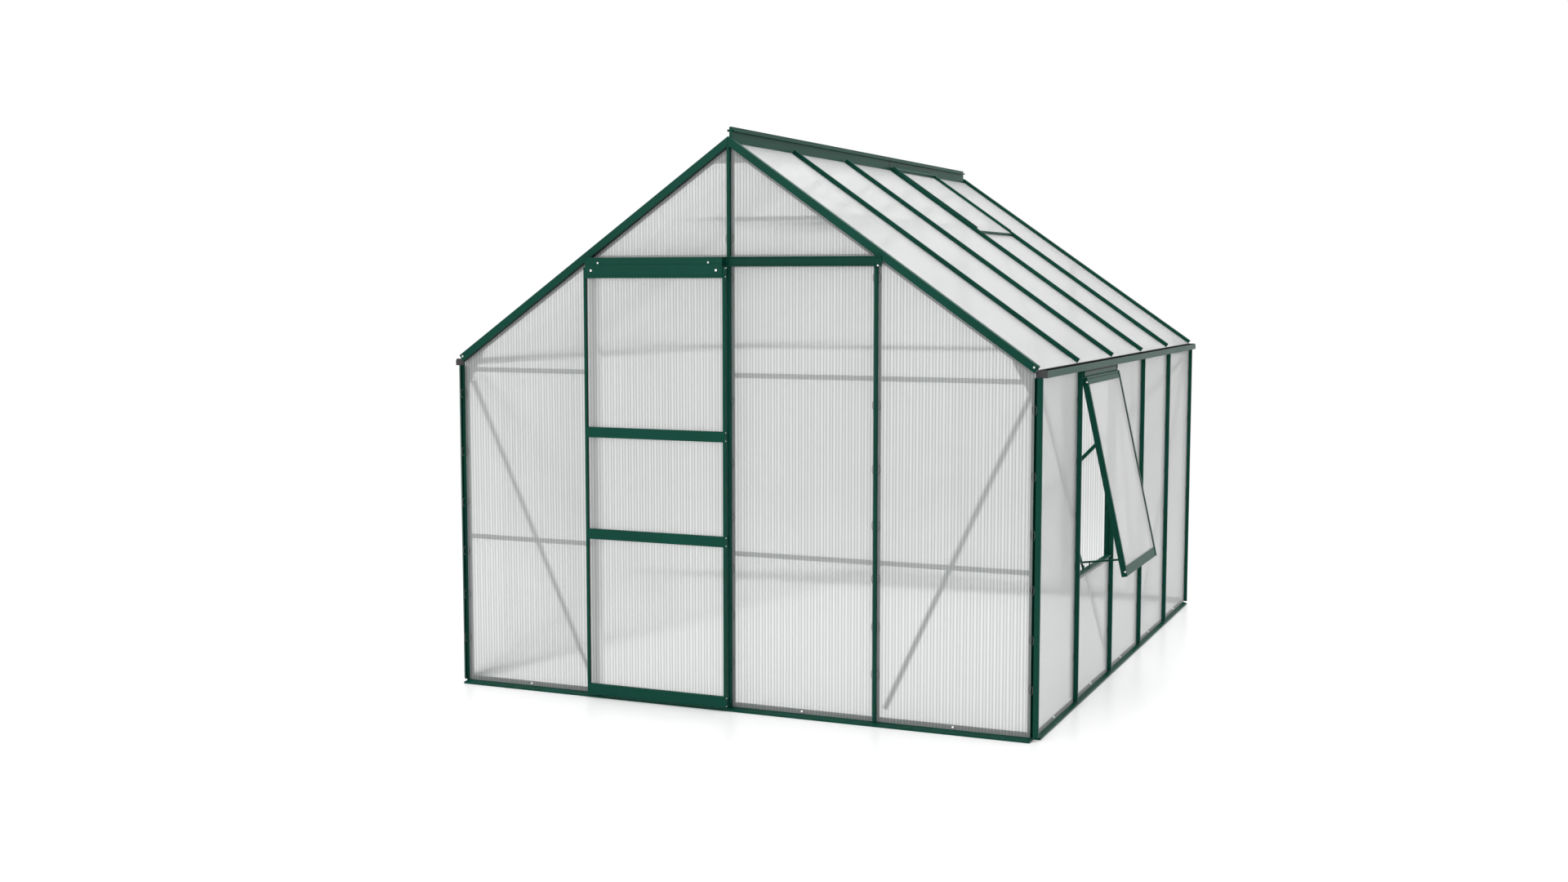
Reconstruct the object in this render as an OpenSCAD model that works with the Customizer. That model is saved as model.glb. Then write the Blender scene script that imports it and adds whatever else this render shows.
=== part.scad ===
// Polycarbonate greenhouse: aluminium frame, twin-wall sheets, sliding door,
// one side window held open on its stay and one roof vent.
// X runs across the gable, Y away from the door end, Z up. The origin is on the
// ground under the middle of the front gable's outer face.

/* [House] */
// Width between the outer faces of the side walls' bars
house_w = 2570; // [2300:1:3000]
// Length between the outer faces of the gables' posts
house_l = 3140; // [2900:1:3600]
// Height of the underside of the gutters
eave_h = 1380; // [1300:1:1500]
// Height where the two outer roof planes meet
apex_h = 2314; // [2250:1:2400]
// Distance between the uprights of the gables
gable_pitch = 625; // [600:1:650]
// Distance between the bars of the side walls and the roof
side_pitch = 622; // [600:1:640]

/* [Glazing bars] */
// Width of the nose that shows between two sheets
nose_w = 11; // [8:1:14]
// How far the nose stands out in front of the sheets
nose_out = 18; // [12:1:20]
// Thickness of the twin-wall sheets
sheet_t = 6; // [4:1:8]
// Width of the flange behind the sheets
flange_w = 34; // [28:1:40]
// Thickness of the flanges
flange_t = 2.5; // [2:0.5:4]
// Width of the bolt channel at the back of a bar
channel_w = 16; // [12:1:20]
// Depth of the bolt channel at the back of a bar
channel_d = 13.5; // [10:0.5:16]

/* [Sill] */
// Height of the sloping lip that the sheets stand on
lip_h = 12; // [10:1:16]
// Height of the upstand behind the sheets
upstand_h = 40; // [36:1:50]
// How far the front sill reaches out under the door
front_lip = 22; // [16:1:24]
// Depth of the foot inside the outer faces
foot_d = 40; // [38:1:48]

/* [Door] */
// Width of the door
door_w = 640; // [635:1:645]
// Height of the underside of the door
door_z = 16; // [14:1:20]
// Height of the underside of the track
track_z = 1798; // [1780:1:1810]
// Height of the track
track_h = 38; // [34:1:40]
// Depth of the track
track_d = 14; // [14:1:16]
// Gap between the track and the back of the door
door_gap = 6.5; // [6:0.5:10]
// Depth of the door's stiles
stile_d = 15.5; // [12:0.5:18]
// Width of the door's stiles
stile_w = 10.5; // [9:0.5:13]
// Height of the door's two middle rails
door_rail_h = 42.5; // [38:0.5:50]

/* [Window and vent] */
// Angle at which the side window stands open
window_open = 12.5; // [6:0.5:16]
// Length of the window's sash down its slope
sash_l = 824; // [780:1:830]
// Distance across the roof from the ridge to the lower edge of the vent
vent_x = 461; // [420:1:520]

/* [Hidden] */
$fn = 48;

frame_green = "#20503f";
dark_green = "#153a2e";
cap_grey = "#3c3c3e";
sheet_white = "#dfe3e2";

half_w = house_w / 2;
side_bays = 5;
// The end bays take up what the whole pitches leave of the length
end_bay = (house_l - (side_bays - 2) * side_pitch) / 2;
bar_ys = [for (k = [0 : side_bays - 2]) end_bay + k * side_pitch];
post_xs = [-gable_pitch, 0, gable_pitch];

// The roof planes run this far above the gutters at the side walls' faces
eave_rise = 37.5;
roof_angle = atan((apex_h - eave_h - eave_rise) / half_w);
sheet_front = nose_out;
sheet_back = nose_out + sheet_t;
flange_back = sheet_back + flange_t;
channel_back = flange_back + channel_d;

// Corner posts and rafters
post_foot = 14;
corner_inset = 2;
corner_chamfer = 16;
corner_face = 29;
corner_body = 27;
corner_flange = 47;
rafter_top = 3;
rafter_chamfer = [5.5, 14];
rafter_face = 33;
rafter_flange = 26;
rafter_end_x = half_w - 13;

// Gutters
gutter_w = 40;
gutter_out = 15;
gutter_h = 26;
gutter_t = 3;
gutter_inner_h = 13;
gutter_end = 18;
cap_t = 4;
cap_h = 29;
cap_bevel = [4, 20];
gutter_x = half_w + gutter_out;

// Ridge
ridge_h = 36;
web_w = 12;
keel_w = 26;
keel_h = 42;
keel_top = apex_h - 40;
ridge_back_gap = 48;
hook_out = 9;
hook_t = 4;
hook_z = apex_h + 21;

// Inner rails, braces and ties
strip_t = 3;
strip_w = 20;
rail_back = channel_back + strip_t;
brace_back = rail_back + strip_t;
eave_rail_z = 1353;
mid_rail_z = 630;
brace_top_z = 1330;
brace_foot_z = 60;
wall_brace_inset = 113;
wall_brace_foot_z = 119;
wall_brace_shift = 150;
front_brace_foot = gable_pitch + 32;
header_z = track_z - 3;
header_h = 50;
tie_z = 2000;

// Gusset plates, as places across and heights
gusset_out = half_w - 27;
gusset_in = half_w - 120;
gusset_foot = [half_w - 47, 1300];
gusset_foot_z = 1290;
gusset_in_z = 1435;
gusset_n = 28;
apex_plate_z = 2207;

// Small gaps that let neighbouring pieces be put together
fit = 1;
clear = 0.5;
big = 4000;

// Door
door_left = -gable_pitch - 13.5;
door_right = door_left + door_w;
door_back_y = -track_d - door_gap;
door_front_y = door_back_y - stile_d;
plate_t = 4;
plate_bottom = 1752;
plate_top = 1834;
plate_bevel = [18, 14];
stile_top = track_z - 2;
rail_1_z = 673.5;
rail_2_z = 1097.5;
bottom_rail_h = 46;
door_sheet_t = 5;
roller_r = 12;
roller_t = 9;
axle_r = 4;
track_wall = 3;
track_end = gable_pitch + 25;
roller_z = track_z + track_wall + roller_r + clear;
roller_inset = 70;

// Side window in the second bay from the front
win_bay = 0;
win_y0 = bar_ys[win_bay] + nose_w / 2 + fit;
win_y1 = bar_ys[win_bay + 1] - nose_w / 2 - fit;
win_head_z = 1356;
win_head_h = eave_h - win_head_z;
win_sill_z = 533.5;
win_sill_edge_h = 5;
win_sill_h = 8.5;
win_rail_z = 512;
win_rail_h = 17;
win_ledge_in = 5;
win_lip_t = 3;
sash_gap = 3;
sash_y0 = win_y0 + sash_gap;
sash_y1 = win_y1 - sash_gap;
sash_d = 24;
sash_stile_w = 15;
sash_top_h = 31;
sash_bottom_h = 40;
sash_sheet_d = 15;
hinge_x = half_w + 15.5;
hinge_z = win_head_z - 3;
stay_w = 12;
stay_t = 7;
stay_tilt = 7.7;
stay_inner = 60;
stay_z = 548;
stay_y = (sash_y0 + sash_y1) / 2 - 43;
peg_pitch = 105;
peg_out = 23;
peg_r = 3;
peg_h = 14.5;

// Roof vent in the fourth bay from the front, on the right slope
vent_bay = 2;
vent_y0 = bar_ys[vent_bay] + nose_w / 2 + 3;
vent_y1 = bar_ys[vent_bay + 1] - nose_w / 2 - 3;
vent_top_x = 20;
vent_rail_w = 12;
vent_bar_w = 24;
vent_raise = 5;
vent_sheet_n = 14;
vent_foot = 11;
trimmer_t = 6;
trimmer_w = 16;
trimmer_top = 6;

// Height of the plane that lies n below the outer roof plane
function roof_z(x, n) = apex_h - abs(x) * tan(roof_angle) - n / cos(roof_angle);
// Distance down the slope to a place x across
function slope_at(x) = x / cos(roof_angle);

// ---------- helpers ----------

// Everything below the plane that lies n under the outer roof plane
module under_roof(n) {
    translate([0, big, 0])
        rotate([90, 0, 0])
            linear_extrude(2 * big)
                polygon([[-half_w, 0], [half_w, 0], [half_w, roof_z(half_w, n)],
                         [0, roof_z(0, n)], [-half_w, roof_z(half_w, n)]]);
}

// A copy of the children on each side of the middle
module both_sides() {
    children();
    mirror([1, 0, 0]) children();
}

// The front gable's children turned round to the back gable
module at_back() {
    translate([0, house_l, 0]) mirror([0, 1, 0]) children();
}

// Children drawn in x = down the slope, y = along, z = out of the right roof plane
module on_right_slope() {
    translate([0, 0, apex_h]) rotate([0, roof_angle, 0]) children();
}

// Children drawn for the right wall with x = 0 on the outer face, turned outwards
module on_right_wall() {
    translate([half_w, 0, 0]) children();
}

// Glazing bar standing up, its nose towards -Y
module upright(z_nose, z_back, top) {
    translate([-nose_w / 2, 0, z_nose])
        cube([nose_w, sheet_back, top - z_nose]);
    translate([-flange_w / 2, sheet_back, z_back])
        cube([flange_w, flange_t, top - z_back]);
    translate([-channel_w / 2, flange_back, z_back])
        cube([channel_w, channel_d, top - z_back]);
}

// Sill section in u = inwards from the outer face, v = up
module sill_section(lip) {
    polygon([[-lip, 0], [foot_d, 0], [foot_d, 3], [flange_back, 3],
             [flange_back, upstand_h], [sheet_back, upstand_h], [sheet_back, lip_h],
             [sheet_front, lip_h], [-lip, lip_h - 4]]);
}

// Flat bar between two points of a wall, of width strip_w, drawn in the XZ plane
module strip(a, b) {
    run = b - a;
    translate([a[0], 0, a[1]])
        rotate([0, -atan2(run[1], run[0]), 0])
            translate([0, 0, -strip_w / 2])
                cube([norm(run), strip_t, strip_w]);
}

// ---------- sills ----------

module front_sill() {
    lip_end = half_w - 25;
    color(frame_green)
        translate([-lip_end, 0, 0])
            rotate([90, 0, 90])
                linear_extrude(2 * lip_end)
                    sill_section(front_lip);
}

module back_sill() {
    lip_end = half_w - 25;
    color(frame_green)
        at_back()
            translate([-lip_end, 0, 0])
                rotate([90, 0, 90])
                    linear_extrude(2 * lip_end)
                        sill_section(1);
}

module side_sill() {
    start = foot_d + fit;
    translate([half_w, start, 0])
        rotate([90, 0, 180])
            linear_extrude(house_l - 2 * start)
                sill_section(1);
}

module right_sill() {
    color(frame_green) side_sill();
}

module left_sill() {
    color(frame_green) mirror([1, 0, 0]) side_sill();
}

// ---------- uprights ----------

// Corner post section in u = inwards from the gable, v = inwards from the side wall
module corner_section() {
    polygon([[0, sheet_front], [0, corner_face], [sheet_back, corner_face],
             [sheet_back, corner_flange], [flange_back, corner_flange],
             [flange_back, flange_back], [corner_flange, flange_back],
             [corner_flange, sheet_back], [corner_body, sheet_back],
             [corner_body, corner_inset], [corner_chamfer, corner_inset]]);
}

module corner_post() {
    difference() {
        translate([half_w, 0, post_foot])
            rotate([0, 0, 90])
                linear_extrude(eave_h - post_foot)
                    corner_section();
        // Room for the upstands of the sills behind the sheets
        translate([half_w - 2 * corner_flange, sheet_back - clear, 0])
            cube([2 * corner_flange - sheet_back, corner_flange, upstand_h + clear]);
        translate([half_w - flange_back - 1, corner_body, 0])
            cube([corner_flange, corner_flange, upstand_h + clear]);
    }
}

module corner_posts() {
    color(frame_green) {
        both_sides() corner_post();
        at_back() both_sides() corner_post();
    }
}

// Gable post cut to the slope of the rafters
module gable_post(x) {
    intersection() {
        translate([x, 0, 0]) upright(post_foot, upstand_h + clear, apex_h);
        union() {
            intersection() {
                under_roof(rafter_face + clear);
                translate([-big / 2, -big / 2, 0]) cube([big, big / 2 + sheet_back, big]);
            }
            intersection() {
                under_roof(corner_flange + clear);
                translate([-big / 2, sheet_back, 0]) cube([big, big, big]);
            }
        }
    }
}

module front_posts() {
    color(frame_green)
        for (x = post_xs) gable_post(x);
}

module back_posts() {
    color(frame_green)
        at_back()
            for (x = post_xs) gable_post(x);
}

module right_wall_bars() {
    color(frame_green)
        for (y = bar_ys)
            translate([half_w, y, 0])
                rotate([0, 0, 90])
                    upright(post_foot, upstand_h + clear, eave_h);
}

module left_wall_bars() {
    color(frame_green)
        for (y = bar_ys)
            translate([-half_w, y, 0])
                rotate([0, 0, -90])
                    upright(post_foot, upstand_h + clear, eave_h);
}

// ---------- roof frame ----------

// Rafter of the right slope at the front gable
module gable_rafter() {
    difference() {
        on_right_slope()
            rotate([0, 90, 0])
                translate([0, 0, -keel_h])
                    linear_extrude(slope_at(rafter_end_x) + keel_h)
                        corner_rafter_section();
        // Mitre at the ridge, the flanges stopping beside the web
        translate([clear - big, -big / 2, 0]) cube([big, big, big]);
        translate([-big, corner_body + clear, 0]) cube([big + web_w / 2 + clear, big, big]);
    }
}

module corner_rafter_section() {
    polygon([[rafter_chamfer[0] + rafter_top, 0], [rafter_face, 0], [rafter_face, sheet_front],
             [rafter_flange, sheet_front], [rafter_flange, sheet_back],
             [corner_flange, sheet_back], [corner_flange, flange_back],
             [flange_back, flange_back], [flange_back, corner_flange],
             [sheet_back, corner_flange], [sheet_back, corner_body],
             [rafter_top, corner_body], [rafter_top, rafter_chamfer[1]]]);
}

module front_rafters() {
    color(frame_green) both_sides() gable_rafter();
}

module back_rafters() {
    color(frame_green) at_back() both_sides() gable_rafter();
}

// The bars and the sheets meet the web of the ridge with their upper ends
sheet_top_x = web_w / 2 + sheet_back * sin(roof_angle);

// Roof bars of the right slope
module roof_bars() {
    nose_start = slope_at(sheet_top_x);
    back_start = slope_at(keel_w / 2 + channel_back * sin(roof_angle));
    nose_end = slope_at(rafter_end_x);
    back_end = slope_at(half_w - 48);
    for (y = bar_ys)
        on_right_slope() {
            translate([nose_start, y - nose_w / 2, -sheet_back])
                cube([nose_end - nose_start, nose_w, sheet_back]);
            translate([back_start, y - flange_w / 2, -flange_back])
                cube([back_end - back_start, flange_w, flange_t]);
            translate([back_start, y - channel_w / 2, -channel_back])
                cube([back_end - back_start, channel_w, channel_d]);
        }
}

module right_roof_bars() {
    color(frame_green) roof_bars();
}

module left_roof_bars() {
    color(frame_green) mirror([1, 0, 0]) roof_bars();
}

module ridge_beam() {
    web_start = corner_body + clear;
    web_run = house_l - ridge_back_gap - web_start;
    keel_start = corner_flange + clear;
    color(frame_green) {
        // Web with a hook along each side for a vent's hinge
        translate([-web_w / 2, web_start, keel_top])
            cube([web_w, web_run, apex_h + ridge_h - keel_top]);
        translate([-web_w / 2 - hook_out, web_start, hook_z])
            cube([web_w + 2 * hook_out, web_run, hook_t]);
        // Keel that the roof bars are bolted to
        translate([-keel_w / 2, keel_start, keel_top - keel_h])
            cube([keel_w, house_l - 2 * keel_start, keel_h]);
    }
}

// ---------- gutters ----------

module gutter() {
    start = gutter_end + cap_t;
    run = house_l - 2 * start;
    translate([gutter_x - gutter_t, start, eave_h]) cube([gutter_t, run, gutter_h]);
    translate([gutter_x - gutter_w, start, eave_h]) cube([gutter_w, run, gutter_t]);
    translate([gutter_x - gutter_w, start, eave_h]) cube([gutter_t, run, gutter_inner_h]);
}

module right_gutter() {
    color(frame_green) gutter();
}

module left_gutter() {
    color(frame_green) mirror([1, 0, 0]) gutter();
}

module gutter_end_caps() {
    cap_x = gutter_x - gutter_w + 1;
    top_x = gutter_x - cap_bevel[0];
    color(cap_grey)
        both_sides()
            for (y = [gutter_end, house_l - gutter_end - cap_t])
                translate([0, y + cap_t, eave_h])
                    rotate([90, 0, 0])
                        linear_extrude(cap_t)
                            polygon([[cap_x, 0], [gutter_x, 0], [gutter_x, cap_bevel[1]],
                                     [top_x, cap_h], [cap_x, cap_h]]);
}

// ---------- door track and header ----------

module door_track() {
    start = door_left;
    run = track_end - start;
    color(frame_green) {
        translate([start, -track_wall, track_z]) cube([run, track_wall, track_h]);
        translate([start, -track_d, track_z]) cube([run, track_d, track_wall]);
        translate([start, -track_d, track_z + track_h - track_wall]) cube([run, track_d, track_wall]);
    }
}

module front_header() {
    color(frame_green)
        intersection() {
            translate([-gable_pitch - channel_w, channel_back, header_z])
                cube([2 * (gable_pitch + channel_w), strip_t, header_h]);
            under_roof(flange_back + fit);
        }
}

// ---------- inner rails, braces and ties ----------

module rail(x0, x1, z) {
    translate([x0, channel_back, z]) cube([x1 - x0, strip_t, strip_w]);
}

module front_rails() {
    corner_x = half_w - flange_back;
    color(frame_green)
        for (z = [eave_rail_z, mid_rail_z]) {
            rail(-corner_x, -gable_pitch + channel_w / 2, z);
            rail(-channel_w / 2, corner_x, z);
        }
}

module back_rail() {
    corner_x = half_w - flange_back;
    color(frame_green)
        at_back() rail(-corner_x, corner_x, eave_rail_z);
}

module front_braces() {
    top_x = half_w - corner_flange;
    color(frame_green)
        translate([0, rail_back, 0]) {
            strip([-top_x, brace_top_z], [-front_brace_foot, brace_foot_z]);
            strip([front_brace_foot, brace_foot_z], [top_x, brace_top_z]);
        }
}

module back_braces() {
    top_x = half_w - corner_flange;
    foot_x = strip_w;
    color(frame_green)
        at_back()
            translate([0, rail_back, 0])
                both_sides()
                    strip([foot_x, brace_foot_z], [top_x, brace_top_z]);
}

// Two braces of the right wall, each from a top corner down to the sill
module wall_braces() {
    top_y = wall_brace_inset;
    back_foot_y = bar_ys[2] + wall_brace_shift;
    back_top_y = house_l - corner_flange - strip_w / 2;
    translate([half_w - channel_back, 0, 0])
        rotate([0, 0, 90]) {
            strip([top_y, brace_top_z], [bar_ys[1], wall_brace_foot_z]);
            strip([back_foot_y, wall_brace_foot_z], [back_top_y, brace_top_z]);
        }
}

module right_wall_braces() {
    color(frame_green) wall_braces();
}

module left_wall_braces() {
    color(frame_green) mirror([1, 0, 0]) wall_braces();
}

// Flat ties across the roof beside each pair of roof bars
module roof_ties() {
    color(frame_green)
        for (y = bar_ys)
            intersection() {
                translate([-half_w, y + channel_w / 2, tie_z])
                    cube([house_w, strip_t, strip_w]);
                under_roof(flange_back + fit);
            }
}

// Plates that bolt the corner posts to the rafters and the rafters to each other
module gable_gussets() {
    both_sides()
        translate([0, flange_back + strip_t, 0])
            rotate([90, 0, 0])
                linear_extrude(strip_t)
                    polygon([[gusset_out, gusset_foot_z], gusset_foot, [gusset_in, gusset_in_z],
                             [gusset_in, roof_z(gusset_in, gusset_n)],
                             [gusset_out, roof_z(gusset_out, gusset_n)]]);
    plate_x = (roof_z(0, gusset_n) - apex_plate_z) / tan(roof_angle);
    plate_top_z = keel_top - clear;
    top_x = (roof_z(0, gusset_n) - plate_top_z) / tan(roof_angle);
    translate([0, rail_back, 0])
        rotate([90, 0, 0])
            linear_extrude(strip_t)
                polygon([[-plate_x, apex_plate_z], [plate_x, apex_plate_z],
                         [top_x, plate_top_z], [-top_x, plate_top_z]]);
}

module gusset_plates() {
    color(frame_green) {
        gable_gussets();
        at_back() gable_gussets();
    }
}

// ---------- sheets ----------

// Sheet of a gable between two places across, from z0 up to z1 or to the rafters
module gable_sheet(x0, x1, z0, z1) {
    intersection() {
        translate([x0, sheet_front, z0])
            cube([x1 - x0, sheet_t, z1 - z0]);
        under_roof(sheet_back + 2 + clear);
    }
}

bay_gap = nose_w / 2 + clear;
corner_gap = corner_body + clear;
side_gap = corner_face + clear;

module front_sheets() {
    bottom = lip_h + clear;
    color(sheet_white) {
        gable_sheet(-half_w + side_gap, -gable_pitch - bay_gap, bottom, apex_h);
        gable_sheet(bay_gap, gable_pitch - bay_gap, bottom, track_z);
        gable_sheet(gable_pitch + bay_gap, half_w - side_gap, bottom, apex_h);
    }
}

module gable_top_sheets() {
    bottom = track_z + fit;
    color(sheet_white) {
        gable_sheet(-gable_pitch + bay_gap, -bay_gap, bottom, apex_h);
        gable_sheet(bay_gap, gable_pitch - bay_gap, bottom, apex_h);
    }
}

module back_sheets() {
    bottom = lip_h + clear;
    color(sheet_white)
        at_back()
            both_sides() {
                gable_sheet(bay_gap, gable_pitch - bay_gap, bottom, apex_h);
                gable_sheet(gable_pitch + bay_gap, half_w - side_gap, bottom, apex_h);
            }
}

// Edges of the bays along the house, from one bar's nose to the next
bay_starts = concat([corner_gap], [for (y = bar_ys) y + bay_gap]);
bay_ends = concat([for (y = bar_ys) y - bay_gap], [house_l - corner_gap]);

module wall_sheet(bay, top) {
    translate([half_w - sheet_back, bay_starts[bay], lip_h + clear])
        cube([sheet_t, bay_ends[bay] - bay_starts[bay], top - lip_h - clear]);
}

module right_wall_sheets() {
    color(sheet_white)
        for (bay = [0 : side_bays - 1])
            wall_sheet(bay, bay == win_bay + 1 ? win_sill_z - clear : eave_h);
}

module left_wall_sheets() {
    color(sheet_white)
        mirror([1, 0, 0])
            for (bay = [0 : side_bays - 1]) wall_sheet(bay, eave_h);
}

module roof_sheet(bay, s0) {
    s1 = slope_at(half_w - 8);
    on_right_slope()
        translate([s0, bay_starts[bay], -sheet_back])
            cube([s1 - s0, bay_ends[bay] - bay_starts[bay], sheet_t]);
}

module right_roof_sheets() {
    below_vent = slope_at(vent_x) + trimmer_t + clear;
    color(sheet_white)
        for (bay = [0 : side_bays - 1])
            roof_sheet(bay, bay == vent_bay + 1 ? below_vent : slope_at(sheet_top_x));
}

module left_roof_sheets() {
    color(sheet_white)
        mirror([1, 0, 0])
            for (bay = [0 : side_bays - 1]) roof_sheet(bay, slope_at(sheet_top_x));
}

// ---------- side window ----------

module window_frame() {
    run = win_y1 - win_y0;
    inner = flange_w / 2 - nose_w / 2;
    color(frame_green) {
        translate([half_w - sheet_back, win_y0, win_head_z])
            cube([sheet_back + 6, run, win_head_h]);
        // Thin sloping ledge that runs between the noses of the two bars
        translate([half_w, win_y1, win_sill_z])
            rotate([90, 0, 0])
                linear_extrude(run)
                    polygon([[-sheet_back, 0], [-win_ledge_in, 0], [-win_ledge_in, win_sill_edge_h],
                             [-sheet_back, win_sill_h]]);
        // Rail behind the sheet that carries the ledge
        translate([half_w - sheet_back - win_lip_t, win_y0 + inner, win_rail_z])
            cube([win_lip_t, run - 2 * inner, win_sill_z + win_sill_h - win_rail_z]);
        translate([half_w - channel_back, win_y0 + inner, win_rail_z])
            cube([channel_back - sheet_back, run - 2 * inner, win_rail_h]);
    }
}

// Sash drawn closed with its hinge line on the axis, then swung outwards
module as_opened() {
    translate([hinge_x, 0, hinge_z])
        rotate([0, -window_open, 0])
            translate([-sash_d, 0, -sash_l])
                children();
}

module window_sash() {
    run = sash_y1 - sash_y0;
    inner = run - 2 * sash_stile_w;
    color(frame_green)
        as_opened() {
            for (y = [sash_y0, sash_y1 - sash_stile_w])
                translate([0, y, 0]) cube([sash_d, sash_stile_w, sash_l]);
            translate([2, sash_y0 + sash_stile_w, 0])
                cube([sash_d - 4, inner, sash_bottom_h]);
            translate([2, sash_y0 + sash_stile_w, sash_l - sash_top_h])
                cube([sash_d - 4, inner, sash_top_h]);
        }
}

module window_sheet() {
    color(sheet_white)
        as_opened()
            translate([sash_sheet_d, sash_y0 + sash_stile_w, sash_bottom_h])
                cube([sheet_t, sash_y1 - sash_y0 - 2 * sash_stile_w,
                      sash_l - sash_bottom_h - sash_top_h]);
}

module window_stay() {
    stay_x = half_w - stay_inner;
    sash_foot_x = hinge_x + sash_l * sin(window_open) - sash_d * cos(window_open);
    stay_run = (sash_foot_x - 8 - stay_x) / cos(stay_tilt);
    color(dark_green) {
        // Flat bar that holds the foot of the sash, lying on the first peg
        translate([stay_x, stay_y - stay_w / 2, stay_z])
            rotate([0, -stay_tilt, 0])
                cube([stay_run, stay_w, stay_t]);
        for (y = [stay_y, stay_y - peg_pitch])
            translate([half_w - peg_out, y, win_sill_z + win_sill_h])
                cylinder(r = peg_r, h = peg_h);
    }
}

// ---------- roof vent ----------

module vent_frame() {
    s0 = slope_at(vent_top_x);
    s1 = slope_at(vent_x);
    side_run = s1 - vent_foot - s0;
    inner = vent_y1 - vent_y0 - 2 * vent_rail_w;
    color(frame_green) {
        // Two side rails and the bar that hangs in the hook of the ridge
        on_right_slope()
            translate([s0, 0, vent_raise - sheet_front]) {
                for (y = [vent_y0, vent_y1 - vent_rail_w])
                    translate([0, y, 0]) cube([side_run, vent_rail_w, sheet_front]);
                translate([0, vent_y0 + vent_rail_w, 0]) cube([vent_bar_w, inner, sheet_front]);
            }
        // Trimmer rail that closes the upper edge of the sheet below the vent
        on_right_slope() {
            translate([s1, vent_y0, -sheet_back])
                cube([trimmer_t, vent_y1 - vent_y0, sheet_back - trimmer_top]);
            translate([s1, vent_y0 + flange_w / 2, -sheet_back - channel_d])
                cube([trimmer_w, vent_y1 - vent_y0 - flange_w, channel_d]);
        }
    }
}

module vent_sheet() {
    s0 = slope_at(vent_top_x) + vent_bar_w;
    s1 = slope_at(vent_x) - clear;
    color(sheet_white)
        on_right_slope()
            translate([s0, vent_y0 + vent_rail_w, -vent_sheet_n])
                cube([s1 - s0, vent_y1 - vent_y0 - 2 * vent_rail_w, sheet_t]);
}

// ---------- sliding door ----------

module door_stiles() {
    color(frame_green)
        for (x = [door_left, door_right - stile_w])
            translate([x, door_front_y, door_z])
                cube([stile_w, stile_d, stile_top - door_z]);
}

module door_rails() {
    rails = [[door_z, bottom_rail_h], [rail_1_z, door_rail_h], [rail_2_z, door_rail_h],
             [plate_bottom, stile_top - plate_bottom]];
    color(frame_green)
        for (r = rails)
            translate([door_left + stile_w, door_front_y, r[0]])
                cube([door_w - 2 * stile_w, stile_d, r[1]]);
}

// Wide plate that hides the rollers, its outer top corner bevelled
module door_top_plate() {
    x0 = door_left + stile_w - 1;
    x1 = door_right - stile_w + 1;
    color(frame_green)
        translate([0, door_front_y, 0])
            rotate([90, 0, 0])
                linear_extrude(plate_t)
                    polygon([[x0, plate_bottom], [x1, plate_bottom], [x1, plate_top],
                             [x0 + plate_bevel[0], plate_top], [x0, plate_top - plate_bevel[1]]]);
}

module door_sheets() {
    bottoms = [door_z + bottom_rail_h, rail_1_z + door_rail_h, rail_2_z + door_rail_h];
    tops = [rail_1_z, rail_2_z, plate_bottom];
    color(sheet_white)
        for (i = [0 : len(tops) - 1])
            translate([door_left + stile_w, door_back_y - 1 - door_sheet_t, bottoms[i]])
                cube([door_w - 2 * stile_w, door_sheet_t, tops[i] - bottoms[i]]);
}

// Two rollers on short axles through the top plate, running in the track
module door_rollers() {
    wheel_back = -track_wall - 2;
    color(dark_green)
        for (x = [door_left + roller_inset, door_right - roller_inset])
            translate([x, 0, roller_z])
                rotate([90, 0, 0]) {
                    translate([0, 0, -wheel_back])
                        cylinder(r = roller_r, h = roller_t);
                    translate([0, 0, -wheel_back])
                        cylinder(r = axle_r, h = wheel_back - door_front_y);
                }
}

front_sill();
back_sill();
left_sill();
right_sill();
corner_posts();
front_posts();
back_posts();
left_wall_bars();
right_wall_bars();
front_rafters();
back_rafters();
left_roof_bars();
right_roof_bars();
ridge_beam();
left_gutter();
right_gutter();
gutter_end_caps();
door_track();
front_header();
front_rails();
back_rail();
front_braces();
back_braces();
left_wall_braces();
right_wall_braces();
roof_ties();
gusset_plates();
front_sheets();
gable_top_sheets();
back_sheets();
left_wall_sheets();
right_wall_sheets();
left_roof_sheets();
right_roof_sheets();
window_frame();
window_sash();
window_sheet();
window_stay();
vent_frame();
vent_sheet();
door_stiles();
door_rails();
door_top_plate();
door_sheets();
door_rollers();
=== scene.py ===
"""Dresses the packed greenhouse: ribbed sheets, profiles, fasteners, seals and black strips of painted
shade, finishes and a studio.
"""

import math

import bmesh
import bpy
from bpy.props import FloatProperty, FloatVectorProperty, PointerProperty
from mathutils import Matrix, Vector


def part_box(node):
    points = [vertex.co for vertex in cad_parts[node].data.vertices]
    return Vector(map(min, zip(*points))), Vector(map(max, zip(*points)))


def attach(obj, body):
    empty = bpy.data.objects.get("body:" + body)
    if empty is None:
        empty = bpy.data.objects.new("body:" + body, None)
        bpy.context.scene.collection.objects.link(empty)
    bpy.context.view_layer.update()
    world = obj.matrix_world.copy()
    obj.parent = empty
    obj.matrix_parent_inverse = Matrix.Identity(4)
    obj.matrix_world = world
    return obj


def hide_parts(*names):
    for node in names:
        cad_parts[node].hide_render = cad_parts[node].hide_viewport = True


bl_info = {
    "name": "Polycarbonate Greenhouse",
    "version": (1, 0, 0),
    "blender": (4, 5, 0),
    "location": "3D View > Sidebar > Greenhouse",
    "description": "Builds the glazing, fasteners and finishes of a greenhouse around its packed frame",
    "category": "Object",
}

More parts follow.
